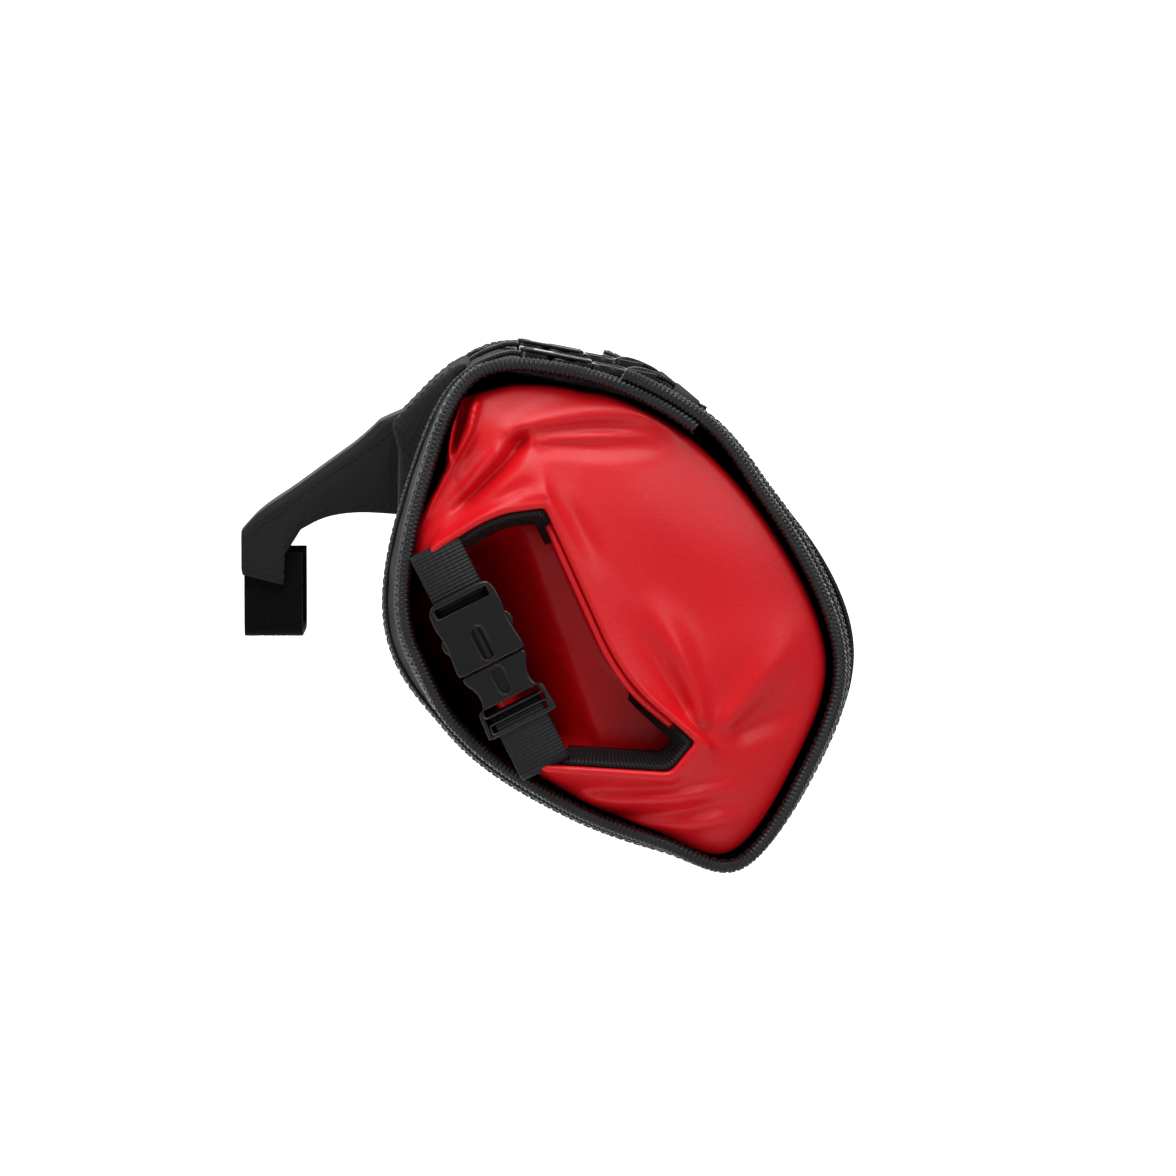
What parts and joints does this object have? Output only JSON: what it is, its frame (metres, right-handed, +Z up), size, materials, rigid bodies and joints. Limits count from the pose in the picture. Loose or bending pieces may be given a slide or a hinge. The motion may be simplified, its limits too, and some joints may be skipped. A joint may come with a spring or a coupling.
{
  "type": "bicycle handlebar bag",
  "caption": "Roll-closed tube bag in a fabric wrap, carried crosswise on a handlebar by a saddle over the stem, with webbing straps and side-release buckles.",
  "frame": {"origin": "axis of the handlebar at the middle of the bag, where the bag hangs", "axes": "+X forward, +Y to the rider's left along the handlebar, +Z up"},
  "size_m": [0.2131, 0.372, 0.1773],
  "materials": {
    "red_coated_fabric": "smooth coated fabric with a soft gloss",
    "black_nylon": "woven nylon, matte",
    "grey_nylon": "thin woven nylon with a slight sheen",
    "binding_tape": "ribbed grosgrain tape",
    "webbing": "woven polyester webbing",
    "buckle_plastic": "moulded acetal, satin",
    "saddle_fabric": "rubber-coated fabric, matte",
    "hook_loop": "hook-and-loop pile"
  },
  "bodies": {
    "root": {"dry_bag": "red_coated_fabric", "roll_closure_right": "red_coated_fabric", "roll_closure_left": "red_coated_fabric", "closure_webbing_right": "webbing", "closure_webbing_left": "webbing", "closure_tab_upper_right": "webbing", "closure_tab_upper_left": "webbing", "closure_tab_lower_right": "webbing", "closure_tab_lower_left": "webbing", "closure_buckle_body_right": "buckle_plastic", "closure_buckle_body_left": "buckle_plastic", "closure_buckle_prong_right": "buckle_plastic", "closure_buckle_prong_left": "buckle_plastic", "wrap_panel": "black_nylon", "end_band_right": "grey_nylon", "end_band_left": "grey_nylon", "rim_binding_right": "binding_tape", "rim_binding_left": "binding_tape", "seam_binding_right": "binding_tape", "seam_binding_left": "binding_tape", "back_pad": "black_nylon", "compression_strap_right": "webbing", "compression_strap_left": "webbing", "compression_anchor_right": "webbing", "compression_anchor_left": "webbing", "compression_buckle_body_right": "buckle_plastic", "compression_buckle_body_left": "buckle_plastic", "compression_buckle_prong_right": "buckle_plastic", "compression_buckle_prong_left": "buckle_plastic", "mount_saddle": "saddle_fabric", "stem_strap": "hook_loop"}
  },
  "joints": []
}
